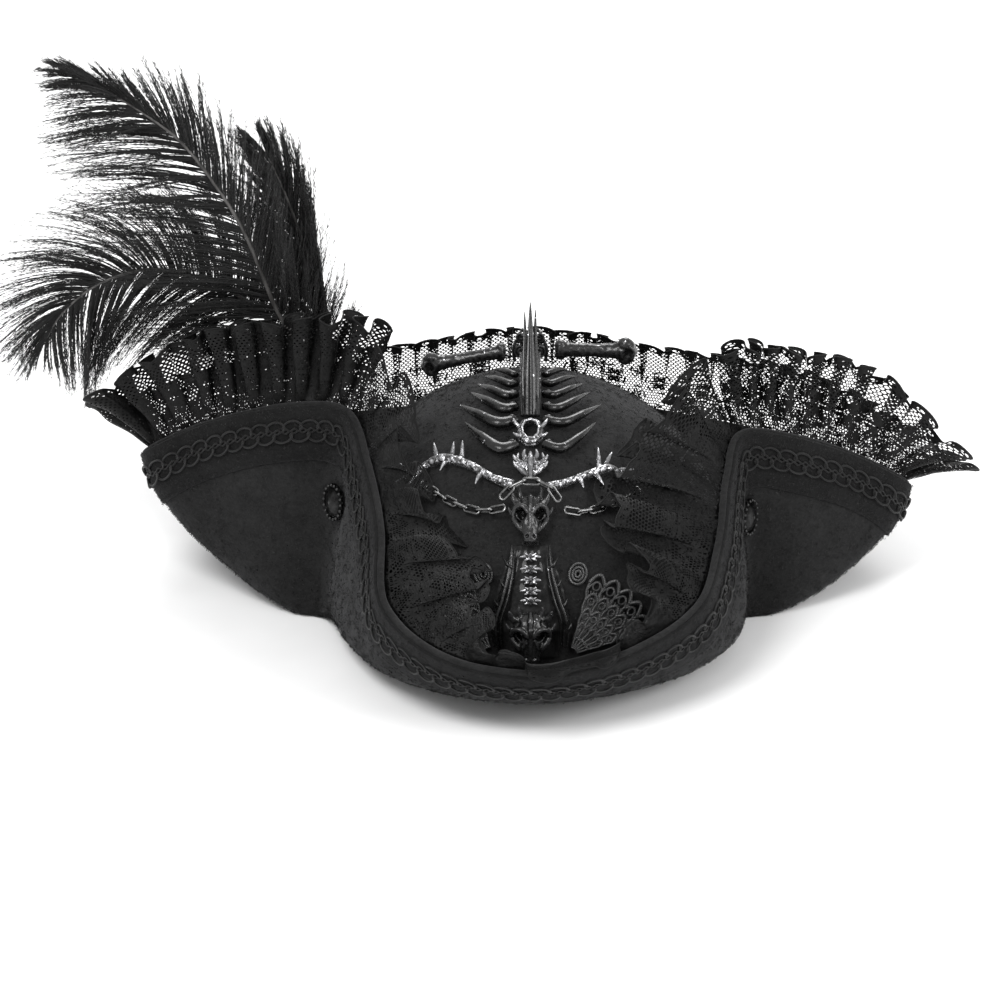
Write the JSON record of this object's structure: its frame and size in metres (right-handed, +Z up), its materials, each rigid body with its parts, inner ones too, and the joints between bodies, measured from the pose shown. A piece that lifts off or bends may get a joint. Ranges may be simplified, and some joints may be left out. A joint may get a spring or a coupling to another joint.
{
  "type": "tricorn hat",
  "caption": "Black felt pirate tricorn with lace ruffles, scroll braid, three ostrich plumes, a cast bone ornament and chains.",
  "frame": {"origin": "centre of the head opening, in the plane of the crown's lower edge", "axes": "+Z up through the crown, -Y is the hat's front, +X is the viewer's right when the front is seen"},
  "size_m": [0.4031, 0.3059, 0.2547],
  "materials": {
    "felt": "black wool felt with fine raised fibres",
    "braid": "black scroll gimp braid of wrapped cord",
    "lace": "black floral net lace with a scalloped edge",
    "applique_cord": "black corded lace with a faint glitter",
    "lining": "black satin",
    "sweatband_leather": "soft dark leather",
    "feather": "black ostrich barbs",
    "quill": "dark grey-brown dyed quill, half matt",
    "cast_black": "gloss black cast resin",
    "cast_silvered": "black casting brushed with silver",
    "chain_metal": "blackened steel, bright on its edges",
    "button_metal": "dark gunmetal",
    "steel": "steel wire"
  },
  "bodies": {
    "root": {"felt_crown": "felt", "felt_brim": "felt", "hem_band": "felt", "brim_wire": "steel", "sweatband": "sweatband_leather", "crown_lining": "lining", "braid_trim": "braid", "lace_front": "lace", "lace_right_wing": "lace", "lace_back": "lace", "lace_left_wing": "lace", "applique_left": "applique_cord", "applique_right": "applique_cord", "button_left": "button_metal", "button_right": "button_metal", "tack_left": "braid", "tack_right": "braid", "quill_sockets": "felt", "tail_spikes": "cast_black", "rib_spine": "cast_black", "ribs_left": "cast_black", "ribs_right": "cast_black", "keyhole_frame": "cast_black", "crest_shield": "cast_silvered", "arm_left": "cast_silvered", "arm_right": "cast_silvered", "small_skull": "cast_black", "neck_bones": "cast_black", "tusk_left": "cast_black", "tusk_right": "cast_black", "base_skull": "cast_black", "backing_plate": "cast_black", "bone_left": "cast_black", "bone_right": "cast_black", "filigree_centre": "cast_black", "chain_wrap": "chain_metal", "jump_rings": "chain_metal"},
    "plume_tall": {"quill_tall": "quill", "vane_tall": "feather"},
    "plume_curled": {"quill_curled": "quill", "vane_curled": "feather"},
    "plume_short": {"quill_short": "quill", "vane_short": "feather"},
    "chain_swag_left": {"chain_left": "chain_metal"},
    "chain_swag_right": {"chain_right": "chain_metal"}
  },
  "joints": [
    {"name": "plume_tall_sway", "type": "hinge", "parent": "root", "child": "plume_tall", "pos_m": [-0.0842, 0.022, 0.031], "axis": [0, 1, 0], "range_deg": [-5, 5], "stiffness_Nm_per_rad": 0.08},
    {"name": "plume_curled_sway", "type": "hinge", "parent": "root", "child": "plume_curled", "pos_m": [-0.0814, 0.034, 0.031], "axis": [0, 1, 0], "range_deg": [-5, 5], "stiffness_Nm_per_rad": 0.08},
    {"name": "plume_short_sway", "type": "hinge", "parent": "root", "child": "plume_short", "pos_m": [-0.0774, 0.046, 0.031], "axis": [0, 1, 0], "range_deg": [-5, 5], "stiffness_Nm_per_rad": 0.08},
    {"name": "chain_left_swing", "type": "hinge", "parent": "root", "child": "chain_swag_left", "pos_m": [-0.04317, -0.05045, 0.0633], "axis": [0.8024, -0.5956, 0.0363], "range_deg": [-80, 0]},
    {"name": "chain_right_swing", "type": "hinge", "parent": "root", "child": "chain_swag_right", "pos_m": [0.04318, -0.05351, 0.06166], "axis": [-0.8372, -0.541, 0.0806], "range_deg": [0, 80]}
  ]
}
